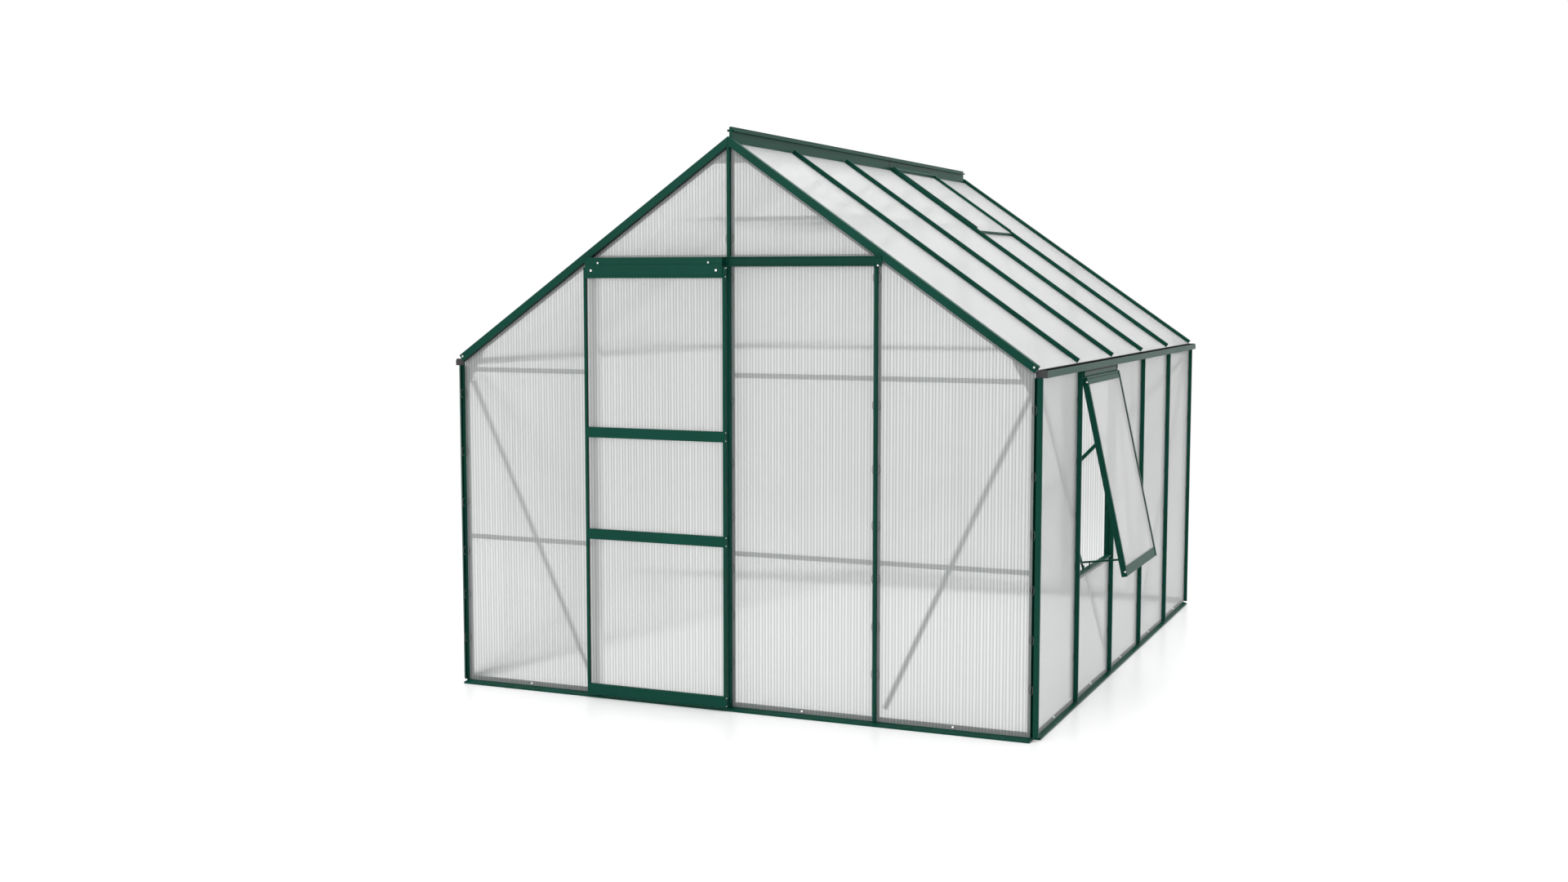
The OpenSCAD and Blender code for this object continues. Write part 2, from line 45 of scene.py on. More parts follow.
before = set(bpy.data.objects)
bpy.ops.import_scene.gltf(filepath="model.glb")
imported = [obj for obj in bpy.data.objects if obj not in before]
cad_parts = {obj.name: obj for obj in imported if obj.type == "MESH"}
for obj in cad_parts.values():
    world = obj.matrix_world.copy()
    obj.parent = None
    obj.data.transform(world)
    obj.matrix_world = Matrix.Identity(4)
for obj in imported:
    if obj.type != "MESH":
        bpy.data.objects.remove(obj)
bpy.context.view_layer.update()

# ---------- measures of the frame, in metres ----------

HALF_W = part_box("right_wall_bars")[1].x
HOUSE_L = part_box("back_posts")[1].y
EAVE_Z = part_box("right_gutter")[0].z
# The outer planes of the roof meet below the ridge's top and pass above the eaves at the walls
APEX_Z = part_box("ridge_beam")[1].z - 0.036
EAVE_RISE = 0.0375
SLOPE = math.atan((APEX_Z - EAVE_Z - EAVE_RISE) / HALF_W)
COS, SIN, TAN = math.cos(SLOPE), math.sin(SLOPE), math.tan(SLOPE)

GABLES = ("front", "back")
WALLS = ("left_wall", "right_wall")
ROOFS = ("left_roof", "right_roof")
HANDS = (-1, 1)

CLEAR = 0.0005
# Depths inwards from the outer face of a wall, gable or roof
SHEET_FRONT = 0.018
SHEET_BACK = 0.024
FLANGE_BACK = 0.0265
CHANNEL_BACK = 0.040
# Depths below the outer plane of the roof
RAFTER_POCKET = 0.0265
RAFTER_WEB = 0.033
RAFTER_FLANGE = 0.047
# Half widths of a glazing bar
NOSE = 0.0055
FLANGE = 0.017

GABLE_PITCH = 0.625
SIDE_PITCH = 0.622
END_BAY = (HOUSE_L - 3 * SIDE_PITCH) / 2
POST_XS = [-GABLE_PITCH, 0.0, GABLE_PITCH]
BAR_YS = [END_BAY + k * SIDE_PITCH for k in range(4)]
BAY_GAP = NOSE + CLEAR
CORNER_GAP = 0.0275
SIDE_GAP = 0.0295
BAYS = list(zip([CORNER_GAP] + [y + BAY_GAP for y in BAR_YS],
                [y - BAY_GAP for y in BAR_YS] + [HOUSE_L - CORNER_GAP]))
WINDOW_BAY = 1
VENT_BAY = 3
SHEET_FOOT = 0.0125
POST_FOOT = 0.014
UPSTAND_TOP = 0.031

# Distances from the middle of the house to the upper and lower ends of what lies on the roof
RIDGE_HALF = 0.006
KEEL_HALF = 0.013
VENT_REACH = 0.461
CHANNEL_REACH = HALF_W - 0.048
BAR_REACH = HALF_W - 0.013
SHEET_REACH = HALF_W - 0.008

DOOR_LEFT, DOOR_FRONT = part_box("door_stiles")[0].xy
DOOR_RIGHT, DOOR_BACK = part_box("door_stiles")[1].xy
DOOR_RAILS = [(0.016, 0.062), (0.6735, 0.716), (1.0975, 1.140), (1.752, 1.796)]
DOOR_PANES = [(foot, top) for (_, foot), (top, _) in zip(DOOR_RAILS, DOOR_RAILS[1:])]
STILE_W = 0.0105

SASH_OPEN = math.radians(12.5)
SASH_L = 0.824
SASH_STILE = 0.015
SASH_START, SASH_END = (corner.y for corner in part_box("window_sash"))
HINGE = Vector((HALF_W + 0.0155, 0, 1.353))


def roof_z(x, n=0.0):
    """Height of the plane that lies n below the outer roof plane."""
    return APEX_Z - abs(x) * TAN - n / COS


def down_slope(x, n=0.0):
    """Distance down the slope to the place x from the middle of the house and n below the roof."""
    return (x + n * SIN) / COS


def under_roof(n):
    """End of an upright section at the plane n below the roof."""
    return lambda u, q: roof_z(u, n)


def beside_middle(x):
    """End of a sloping section at the upright plane x from the middle of the house."""
    return lambda n, b: down_slope(x, n)


def on(side):
    """Gives place(u, q, v) for a side of the house: u along it, q inwards from its face, v up it.

    On a roof, v runs down the slope from the apex.
    """
    sign = -1 if side.startswith("left") else 1
    if side == "front":
        return lambda u, q, v: Vector((u, q, v))
    if side == "back":
        return lambda u, q, v: Vector((u, HOUSE_L - q, v))
    if side.endswith("wall"):
        return lambda u, q, v: Vector((sign * (HALF_W - q), u, v))
    return lambda u, q, v: Vector((sign * (v * COS - q * SIN), u, APEX_Z - v * SIN - q * COS))


def outwards(side):
    """Direction that points out of a side of the house."""
    place = on(side)
    return (place(0, 0, 1) - place(0, 1, 1)).normalized()


def on_corner(side, hand):
    """Gives place(b, a, z) on a corner post: b inwards from the gable, a inwards from the wall."""
    return lambda b, a, z: on(side)(hand * (HALF_W - a), b, z)


def on_rafter(side, hand):
    """Gives place(n, b, s) on a rafter: n below the roof, b inwards from the gable, s down the slope."""
    return lambda n, b, s: on(side)(hand * (s * COS - n * SIN), b, APEX_Z - s * SIN - n * COS)


def on_sash(u, q, v):
    """A place on the open window: u along the house, q inwards from its outer face, v up from its foot."""
    x, z = -q, v - SASH_L
    return HINGE + Vector((x * math.cos(SASH_OPEN) - z * math.sin(SASH_OPEN), u,
                           x * math.sin(SASH_OPEN) + z * math.cos(SASH_OPEN)))


def lengthwise(x, z, y):
    """A place in a section that runs along the house."""
    return Vector((x, y, z))


def crosswise(y, z, x):
    """A place in a section that runs across the house."""
    return Vector((x, y, z))


def mirrored(place):
    """The same place on the other side of the middle of the house."""
    return lambda p, q, d: Vector((-1, 1, 1)) * place(p, q, d)


def rectangle(p0, p1, q0, q1):
    return [(p0, q0), (p1, q0), (p1, q1), (p0, q1)]


def millimetres(*points):
    """Section points given in millimetres."""
    return [(p / 1000, q / 1000) for p, q in points]


# ---------- mesh helpers ----------


class Shape:
    """Gathers the corners and faces of one piece."""

    def __init__(self):
        self.verts = []
        self.faces = []

    def prism(self, section, place, start, end):
        """Draws a section of points (p, q) out from start to end; place(p, q, d) gives each corner."""
        count, first = len(section), len(self.verts)
        for stop in (start, end):
            for p, q in section:
                self.verts.append(place(p, q, stop(p, q) if callable(stop) else stop))
        near = [first + i for i in range(count)]
        self.faces.append(near[::-1])
        self.faces.append([i + count for i in near])
        for i in range(count):
            a, b = near[i], near[(i + 1) % count]
            self.faces.append((a, b, b + count, a + count))

    def tube(self, path, radius, across, sides=6):
        """A round wire along a flat path; across is at right angles to the path's plane."""
        first = len(self.verts)
        across = Vector(across).normalized()
        for i, point in enumerate(path):
            run = path[min(i + 1, len(path) - 1)] - path[max(i - 1, 0)]
            out = run.normalized().cross(across)
            for k in range(sides):
                turn = 2 * math.pi * k / sides
                self.verts.append(point + radius * (math.cos(turn) * across + math.sin(turn) * out))
        self._skin(first, len(path), sides)

    def turned(self, profile, at, axis, sides=16):
        """A profile of (radius, height) points turned about an axis through the place at."""
        first = len(self.verts)
        turn = Vector(axis).to_track_quat("Z", "X")
        for radius, height in profile:
            for k in range(sides):
                angle = 2 * math.pi * (k + 0.5) / sides
                corner = Vector((radius * math.cos(angle), radius * math.sin(angle), height))
                self.verts.append(Vector(at) + turn @ corner)
        self._skin(first, len(profile), sides)

    def _skin(self, first, rings, sides):
        """Joins rings of corners and closes both ends."""
        for ring in range(rings - 1):
            a = first + ring * sides
            for k in range(sides):
                b = (k + 1) % sides
                self.faces.append((a + k, a + b, a + sides + b, a + sides + k))
        self.faces.append([first + k for k in range(sides)][::-1])
        self.faces.append([first + (rings - 1) * sides + k for k in range(sides)])


def soften(obj, width):
    """Breaks the sharp edges of an extruded piece."""
    bevel = obj.modifiers.new("edges", "BEVEL")
    bevel.width = width
    bevel.segments = 1
    bevel.limit_method = "ANGLE"
    bevel.angle_limit = math.radians(40)
    bevel.use_clamp_overlap = True


def in_scene(name, data):
    """Puts a mesh, a lamp or a camera in the scene."""
    obj = bpy.data.objects.new(name, data)
    bpy.context.scene.collection.objects.link(obj)
    return obj


def piece(name, shape, kind, body="house", stands_for=(), edge=0.0, smooth=False):
    """Makes a piece of one kind of finish, lets it ride on a body and stand for CAD nodes."""
    if not shape.faces:
        raise RuntimeError(f"{name} has no faces")
    mesh = bpy.data.meshes.new(name)
    mesh.from_pydata([tuple(v) for v in shape.verts], [], shape.faces)
    work = bmesh.new()
    work.from_mesh(mesh)
    bmesh.ops.recalc_face_normals(work, faces=work.faces)
    work.to_mesh(mesh)
    work.free()
    mesh.materials.append(finish_of(kind))
    if smooth:
        for face in mesh.polygons:
            face.use_smooth = True
        mesh.set_sharp_from_angle(angle=math.radians(35))
    obj = in_scene(name, mesh)
    if edge:
        soften(obj, edge)
    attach(obj, body)
    if stands_for:
        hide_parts(*stands_for)
    return obj


def finish(names, kind="powder_coat_green"):
    """Gives CAD nodes that stay in view their finish and broken edges."""
    for name in names:
        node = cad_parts[name]
        node.data.materials.clear()
        node.data.materials.append(finish_of(kind))
        weld = node.modifiers.new("weld", "WELD")
        weld.merge_threshold = 0.00002
        soften(node, bpy.context.scene.greenhouse_finishes.edge)


# ---------- materials ----------


def new_material(name):
    mat = bpy.data.materials.new(name)
    mat.use_nodes = True
    return mat, mat.node_tree, mat.node_tree.nodes["Principled BSDF"]


def feed(tree, node, inputs):
    """Sets inputs, by name or place, to a value or joins them to another node's socket."""
    for key, value in dict(inputs).items():
        if isinstance(value, bpy.types.NodeSocket):
            tree.links.new(value, node.inputs[key])
        else:
            node.inputs[key].default_value = value


def add(tree, kind, inputs=(), **settings):
    """Adds a shader node with its settings and inputs."""
    node = tree.nodes.new("ShaderNode" + kind)
    for key, value in settings.items():
        setattr(node, key, value)
    feed(tree, node, inputs)
    return node


def maths(tree, operation, *terms):
    """Result of an operation on numbers and sockets."""
    return add(tree, "Math", enumerate(terms), operation=operation).outputs[0]


def vector(tree, operation, output, inputs):
    """Result of an operation on vectors."""
    return add(tree, "VectorMath", inputs, operation=operation).outputs[output]


def blend(tree, part, first, second):
    """Shader made of two, with the share part from the second."""
    return add(tree, "MixShader", {0: part, 1: first, 2: second}).outputs[0]


def span(tree, level, **ends):
    """Level carried from one range of numbers to another."""
    inputs = {key.replace("_", " ").title(): value for key, value in ends.items()}
    return add(tree, "MapRange", {"Value": level, **inputs}).outputs["Result"]


def ramp(tree, level, low, high, start=0.0, stop=1.0):
    """Colour that turns from low to high while level rises from start to stop."""
    node = add(tree, "ValToRGB", {"Fac": level})
    for element, place, colour in zip(node.color_ramp.elements, (start, stop), (low, high)):
        element.position = place
        element.color = (*colour, 1)
    return node.outputs["Color"]


def scaled(colour, factor):
    return [min(1, c * factor) for c in colour]


def noise(tree, scale, detail):
    """Cloudy pattern that stays with the piece."""
    place = add(tree, "TexCoord").outputs["Object"]
    return add(tree, "TexNoise", {"Vector": place, "Scale": scale, "Detail": detail}).outputs["Fac"]


def seen_rays(tree):
    """Output that is 1 for camera, glossy and transmission rays and 0 for others."""
    rays = add(tree, "LightPath").outputs
    first = maths(tree, "MAXIMUM", rays["Is Camera Ray"], rays["Is Glossy Ray"])
    return maths(tree, "MAXIMUM", first, rays["Is Transmission Ray"])


def powder_coat(name, colour, rough):
    """Satin powder coat: fine orange peel, a drift of colour and a little dust in the roughness."""
    mat, tree, bsdf = new_material(name)
    drift = noise(tree, 3.0, 3.0)
    peel = noise(tree, 900.0, 2.0)
    bump = add(tree, "Bump", {"Height": peel, "Strength": 0.12, "Distance": 0.0003})
    feed(tree, bsdf, {"Base Color": ramp(tree, drift, scaled(colour, 0.9), scaled(colour, 1.1), 0.3, 0.7),
                      "Specular IOR Level": 0.08,
                      "Roughness": span(tree, drift, to_min=rough - 0.06, to_max=rough + 0.06),
                      "Normal": bump.outputs["Normal"]})
    return mat


def moulded(name, colour, rough, metallic=0.0):
    """Plastic, rubber or metal with a fine grain in its surface and its colour."""
    mat, tree, bsdf = new_material(name)
    grain = noise(tree, 400.0, 3.0)
    bump = add(tree, "Bump", {"Height": grain, "Strength": 0.2, "Distance": 0.0002})
    feed(tree, bsdf, {"Base Color": ramp(tree, grain, scaled(colour, 0.85), scaled(colour, 1.15)),
                      "Roughness": rough, "Metallic": metallic, "Normal": bump.outputs["Normal"]})
    return mat


def twin_wall(name, across, bend, web, clear, gloss):
    """Twin-wall sheet whose webs repeat along the unit direction across.

    Part of the light scatters in the plastic and part passes through, bent sideways by the cells.
    The webs keep the share web of the cells' brightness; clear is the share that passes each face,
    and gloss is how much of the skin's shine shows.
    """
    sheets = bpy.context.scene.greenhouse_sheets
    mat, tree, bsdf = new_material(name)
    place = add(tree, "TexCoord").outputs["Object"]
    along = vector(tree, "DOT_PRODUCT", "Value", {0: place, 1: across})
    turns = maths(tree, "MULTIPLY", along, 2 * math.pi / sheets.rib_pitch)
    # The colour follows the cells, every second one slightly paler
    paler = 0.35
    slow = maths(tree, "COSINE", maths(tree, "MULTIPLY", turns, 0.5))
    wave = maths(tree, "MULTIPLY_ADD", slow, paler, maths(tree, "COSINE", turns))
    level = span(tree, wave, from_min=-1 - paler, from_max=1 + paler)
    tint = ramp(tree, level, scaled(sheets.cell_colour, web), sheets.cell_colour, stop=0.75)
    passed = ramp(tree, level, scaled(sheets.passed_colour, math.sqrt(web)), sheets.passed_colour,
                  stop=0.75)
    feed(tree, bsdf, {"Base Color": tint, "Roughness": 0.35})
    back = add(tree, "BsdfTranslucent", {"Color": tint})
    body = blend(tree, sheets.translucent, bsdf.outputs[0], back.outputs[0])
    # The cells work as small lenses, so the normal leans to and fro across them, but only on the
    # face where the light comes in, so that it can leave by the other one
    faces = add(tree, "NewGeometry").outputs
    swing = maths(tree, "SINE", maths(tree, "MULTIPLY", turns, 6.0))
    entering = maths(tree, "SUBTRACT", 1.0, faces["Backfacing"])
    tilt = maths(tree, "MULTIPLY", maths(tree, "MULTIPLY", swing, bend), entering)
    lean = vector(tree, "SCALE", "Vector", {0: across, "Scale": tilt})
    bent = vector(tree, "ADD", "Vector", {0: faces["Normal"], 1: lean})
    lensed = add(tree, "BsdfRefraction", {"Color": passed, "Roughness": 0.06, "IOR": 1.4,
                                          "Normal": vector(tree, "NORMALIZE", "Vector", {0: bent})})
    # The outer skin shines softly and reflects no sharp shapes
    slant = add(tree, "Fresnel", {"IOR": 1.4}).outputs[0]
    sheen = add(tree, "BsdfGlossy", {"Roughness": 0.5})
    skin = blend(tree, maths(tree, "MULTIPLY", slant, gloss), lensed.outputs[0], sheen.outputs[0])
    # Light that only brightens what stands behind passes straight
    rays = add(tree, "LightPath").outputs
    soft = maths(tree, "MAXIMUM", rays["Is Shadow Ray"], rays["Is Diffuse Ray"])
    straight = add(tree, "BsdfTransparent", {"Color": passed})
    through = blend(tree, soft, skin, straight.outputs[0])
    feed(tree, tree.nodes["Material Output"], {"Surface": blend(tree, clear, body, through)})
    return mat


def finish_of(kind):
    """Makes a finish once and gives the same material again after that."""
    if kind in bpy.data.materials:
        return bpy.data.materials[kind]
    coats, sheets = bpy.context.scene.greenhouse_finishes, bpy.context.scene.greenhouse_sheets
    gable_sheet = ((1, 0, 0), sheets.gable_lens, sheets.gable_web, sheets.gable_clear)
    side_sheet = ((0, 1, 0), sheets.side_lens, sheets.side_web, sheets.side_clear)
    maker, *values = {
        "powder_coat_green": (powder_coat, coats.frame_colour, coats.frame_roughness),
        "twin_wall_across_x": (twin_wall, *gable_sheet, sheets.gable_gloss),
        "twin_wall_across_y": (twin_wall, *side_sheet, sheets.side_gloss),
        "twin_wall_window": (twin_wall, *side_sheet, sheets.window_gloss),
        "moulded_plastic_grey": (moulded, coats.cap_colour, 0.5),
        "nylon_black": (moulded, coats.roller_colour, 0.4),
        # Black rubber, also used for strips of painted shade in gaps
        "rubber_black": (moulded, coats.seal_and_painted_shade_colour, 0.7),
        "zinc_bright": (moulded, coats.bolt_colour, 0.3, 0.7),
        "spring_wire": (moulded, coats.wire_colour, 0.5),
    }[kind]
    return maker(kind, *values)


# ---------- settings ----------


def length(name, description, default):
    return FloatProperty(name=name, description=description, default=default, min=0.0,
                         precision=4, subtype="DISTANCE", unit="LENGTH")


def share(name, description, default):
    return FloatProperty(name=name, description=description, default=default,
                         min=0.0, max=1.0, subtype="FACTOR")


def colour(name, description, default):
    return FloatVectorProperty(name=name, description=description, default=default,
                               min=0.0, max=1.0, size=3, subtype="COLOR")


def power(name, description, default):
    return FloatProperty(name=name, description=description, default=default, min=0.0,
                         subtype="POWER", unit="POWER")


class SheetSettings(bpy.types.PropertyGroup):
    """Twin-wall sheets."""

    rib_pitch: length("Rib pitch", "Distance between the webs inside a sheet", 0.0132)
    groove_width: length("Groove width", "Width of the shallow groove over each web", 0.0036)
    groove_depth: length("Groove depth", "Depth of the shallow groove over each web", 0.0002)
    gable_clear: share("Gable clear", "Share of the light that passes each gable face", 0.70)
    side_clear: share("Side clear", "The same share on the walls and the roof", 0.77)
    translucent: share("Translucent", "Share of the scattered light that comes out behind", 0.20)
    gable_lens: share("Gable lens", "How far the gables' cells bend the light sideways", 0.45)
    side_lens: share("Side lens", "How far the walls' and the roof's cells bend the light", 0.001)
    gable_gloss: share("Gable gloss", "How much the gables and the door shine", 1.0)
    side_gloss: share("Side gloss", "How much the walls and the roof shine", 0.57)
    window_gloss: share("Window gloss", "How much the side window's sheet shines", 1.0)
    gable_web: share("Gable web", "Brightness of the gables' webs beside the cells", 0.64)
    side_web: share("Side web", "Brightness of the walls' and the roof's webs", 0.80)
    cell_colour: colour("Cell colour", "Colour between the webs", (0.99, 0.992, 0.99))
    passed_colour: colour("Passed colour", "Tint of the light that passes", (0.977, 0.982, 0.979))


class FinishSettings(bpy.types.PropertyGroup):
    """Colours of the frame and its fittings."""

    frame_colour: colour("Frame", "Powder coat of the frame", (0.003, 0.055, 0.036))
    frame_roughness: share("Frame roughness", "Roughness of the powder coat", 0.36)
    edge: length("Edge", "Width of the broken edges of the profiles", 0.0006)
    cap_colour: colour("End caps", "Plastic of the gutters' end caps", (0.024, 0.023, 0.026))
    roller_colour: colour("Rollers", "Plastic of the door's rollers", (0.012, 0.012, 0.012))
    # Black of the rubber seals and of the strips that paint shade under the rafters, in the gutters and
    # beside the door's stiles
    seal_and_painted_shade_colour: colour("Seals", "Rubber of the seals", (0.008, 0.008, 0.008))
    bolt_colour: colour("Bolts", "Zinc of the bolts and nuts", (0.80, 0.80, 0.79))
    wire_colour: colour("Clips", "Wire of the glazing clips", (0.09, 0.1, 0.095))


class FastenerSettings(bpy.types.PropertyGroup):
    """Bolts and glazing clips."""

    nut_across: length("Nut", "Width of a nut across its flats", 0.010)
    stud: length("Stud", "Diameter of the bolts", 0.006)
    wire: length("Clip wire", "Diameter of the wire of a glazing clip", 0.0020)
    clip_out: length("Clip reach", "How far a clip reaches beside the nose of a bar", 0.0115)
    clip_high: length("Clip height", "Height of a glazing clip", 0.033)


class StageSettings(bpy.types.PropertyGroup):
    """Floor, lamps and camera."""

    floor_size: length("Floor", "Half the width of the floor", 60.0)
    floor_colour: colour("Floor colour", "Colour of the floor", (0.9, 0.9, 0.9))
    floor_lift: share("Floor lift", "Light added to the floor where it is seen", 0.16)
    sky: share("Sky", "Brightness of the sky as it lights the greenhouse", 0.88)
    top_power: power("Top lamp", "Power of the lamp above", 300.0)
    front_power: power("Front lamp", "Power of the lamp in front", 130.0)
    lens: FloatProperty(name="Lens", description="Focal length in millimetres",
                        default=40.0, min=1.0, subtype="DISTANCE_CAMERA")


# ---------- sheets ----------


def ribbed(settings, u0, u1, near, far):
    """Section of a sheet from u0 to u1, with a shallow groove over each web on both faces."""
    pitch, half, depth = settings.rib_pitch, settings.groove_width / 2, settings.groove_depth
    outer, inner = [(u0, near)], [(u0, far)]
    web = math.ceil((u0 + half) / pitch - 0.5)
    while (web + 0.5) * pitch + half < u1:
        middle = (web + 0.5) * pitch
        if middle - half > u0:
            outer += [(middle - half, near), (middle, near + depth), (middle + half, near)]
            inner += [(middle - half, far), (middle, far - depth), (middle + half, far)]
        web += 1
    return outer + [(u1, near), (u1, far)] + inner[::-1]


def glaze(node, kind, place, sheets, near=SHEET_FRONT, far=SHEET_BACK, body="house"):
    """Makes the ribbed sheets that stand for a CAD node, each given as (start, end, foot, top)."""
    settings = bpy.context.scene.greenhouse_sheets
    shape = Shape()
    for u0, u1, foot, top in sheets:
        shape.prism(ribbed(settings, u0, u1, near, far), place, foot, top)
    piece(node.rsplit("_", 1)[0] + "_glazing", shape, kind, body, [node])


class GREENHOUSE_OT_sheets(bpy.types.Operator):
    """Builds the ribbed twin-wall sheets of the gables, the walls and the roof"""

    bl_idname = "greenhouse.sheets"
    bl_label = "Sheets"

    def execute(self, context):
        track_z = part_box("door_track")[0].z
        outer = (GABLE_PITCH + BAY_GAP, HALF_W - SIDE_GAP)
        inner = (BAY_GAP, GABLE_PITCH - BAY_GAP)
        outer_left, inner_left = ((-u1, -u0) for u0, u1 in (outer, inner))
        tucked = under_roof(RAFTER_POCKET)
        glaze("front_sheets", "twin_wall_across_x", on("front"),
              [(*outer, SHEET_FOOT, tucked), (*outer_left, SHEET_FOOT, tucked),
               (*inner, SHEET_FOOT, track_z)])
        glaze("gable_top_sheets", "twin_wall_across_x", on("front"),
              [(*span, track_z + 2 * CLEAR, tucked) for span in (inner, inner_left)])
        glaze("back_sheets", "twin_wall_across_x", on("back"),
              [(*span, SHEET_FOOT, tucked) for span in (outer, inner, outer_left, inner_left)])

        # Ends of the sheets of each bay, with the window in one of them and the vent in another
        top, foot = down_slope(RIDGE_HALF, SHEET_BACK), down_slope(SHEET_REACH)
        ends = {side: [(SHEET_FOOT, EAVE_Z) if side in WALLS else (top, foot)] * len(BAYS)
                for side in WALLS + ROOFS}
        lap, vent_rail = 0.021, 0.0065
        ends["right_wall"][WINDOW_BAY] = (SHEET_FOOT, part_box("window_frame")[0].z + lap)
        ends["right_roof"][VENT_BAY] = (down_slope(VENT_REACH) + vent_rail, foot)
        for side, pairs in ends.items():
            glaze(side + "_sheets", "twin_wall_across_y", on(side),
                  [(*bay, *pair) for bay, pair in zip(BAYS, pairs)])
        return {"FINISHED"}


# ---------- profiles ----------

NOSE_SECTION = millimetres((-5.5, 1), (-4.5, 0), (-1.2, 0), (-0.8, 0.6), (0.8, 0.6), (1.2, 0),
                           (4.5, 0), (5.5, 1), (5.5, 24.5), (-5.5, 24.5))
BACK_SECTION = millimetres((17, 24), (17, 26.5), (8, 26.5), (8, 40), (3.5, 40), (3.5, 38), (6, 38),
                           (6, 28.5), (-6, 28.5), (-6, 38), (-3.5, 38), (-3.5, 40), (-8, 40),
                           (-8, 26.5), (-17, 26.5), (-17, 24))


def glazing_bar(shape, side, u, nose, back):
    """Adds a glazing bar at u; nose and back are the (start, end) of its two halves."""
    shape.prism([(u + p, q) for p, q in NOSE_SECTION], on(side), *nose)
    shape.prism([(u + p, q) for p, q in BACK_SECTION], on(side), *back)


def profile(node, shape, name="", body="house", sharpness=1):
    """Makes a powder-coated profile that stands for a CAD node; a sharper one has finer edges."""
    edge = bpy.context.scene.greenhouse_finishes.edge / sharpness
    piece(name or node + "_profile", shape, "powder_coat_green", body, [node],
          edge)


class GREENHOUSE_OT_bars(bpy.types.Operator):
    """Builds the glazing bars of the gables, the walls and the roof with their bolt channels"""

    bl_idname = "greenhouse.bars"
    bl_label = "Glazing bars"

    def execute(self, context):
        flange_depth = RAFTER_FLANGE + CLEAR
        for side in GABLES:
            shape = Shape()
            for x in POST_XS:
                # The middle post has a level top, where its flanges meet both rafters
                back_top = under_roof(flange_depth) if x else roof_z(FLANGE, flange_depth)
                glazing_bar(shape, side, x, (POST_FOOT, under_roof(RAFTER_WEB + CLEAR)),
                            (UPSTAND_TOP, back_top))
            profile(side + "_posts", shape, sharpness=2)
        upright = (POST_FOOT, EAVE_Z), (UPSTAND_TOP, EAVE_Z)
        sloping = ((down_slope(RIDGE_HALF, SHEET_BACK), down_slope(BAR_REACH)),
                   (down_slope(KEEL_HALF, CHANNEL_BACK), down_slope(CHANNEL_REACH)))
        for side in ("left_wall", "left_roof", "right_wall", "right_roof"):
            shape = Shape()
            for y in BAR_YS:
                glazing_bar(shape, side, y, *(upright if side in WALLS else sloping))
            profile(side + "_bars", shape, sharpness=2)
        return {"FINISHED"}


class GREENHOUSE_OT_corners(bpy.types.Operator):
    """Builds the corner posts and the rafters of both gables"""

    bl_idname = "greenhouse.corners"
    bl_label = "Corner posts and rafters"

    def execute(self, context):
        # Sections in (depth from the gable, inset from the side wall)
        body = millimetres((0, 18), (0, 19.2), (20, 19.2), (20, 27.8), (0, 27.8), (0, 29), (23.5, 29),
                           (23.5, 24), (27, 24), (27, 2), (16, 2))
        fins = [rectangle(0.024, FLANGE_BACK, 0.023, 0.047), rectangle(0.023, 0.047, 0.024, FLANGE_BACK)]
        shape = Shape()
        for hand in HANDS:
            for side in GABLES:
                shape.prism(body, on_corner(side, hand), POST_FOOT, EAVE_Z)
                for fin in fins:
                    shape.prism(fin, on_corner(side, hand), UPSTAND_TOP, EAVE_Z)
        profile("corner_posts", shape)

        # Sections in (depth below the roof, depth from the gable)
        body = millimetres((3.6, 0), (33, 0), (33, 18), (26, 18), (26, 24), (47, 24), (47, 26.5),
                           (26.5, 26.5), (26.5, 27), (3, 27), (3, 0.6))
        fin = rectangle(0.024, FLANGE_BACK, RAFTER_POCKET, RAFTER_FLANGE)
        foot = down_slope(BAR_REACH)
        for side in GABLES:
            shape = Shape()
            for hand in HANDS:
                place = on_rafter(side, hand)
                shape.prism(body, place, beside_middle(CLEAR), foot)
                shape.prism(fin, place, beside_middle(RIDGE_HALF + CLEAR), foot)
            profile(side + "_rafters", shape)
        return {"FINISHED"}


class GREENHOUSE_OT_sills(bpy.types.Operator):
    """Builds the four sills with their sloping lips and upstands"""

    bl_idname = "greenhouse.sills"
    bl_label = "Sills"

    def execute(self, context):
        gable_end, wall_end = HALF_W - 0.025, 0.041
        for name, side, start, end, lip in (
                ("front", "front", -gable_end, gable_end, 0.022),
                ("back", "back", -gable_end, gable_end, 0.001),
                ("left", "left_wall", wall_end, HOUSE_L - wall_end, 0.001),
                ("right", "right_wall", wall_end, HOUSE_L - wall_end, 0.001)):
            # In (depth from the outer face, height), with a foot, a lip and an upstand
            section = [(-lip, 0)] + millimetres((40, 0), (40, 3), (26.5, 3), (26.5, 30.5), (24, 30.5),
                                                (24, 12), (18, 12)) + [(-lip, 0.008)]
            face = on(side)
            shape = Shape()
            shape.prism(section, lambda q, z, u, face=face: face(u, q, z), start, end)
            profile(name + "_sill", shape)
        return {"FINISHED"}


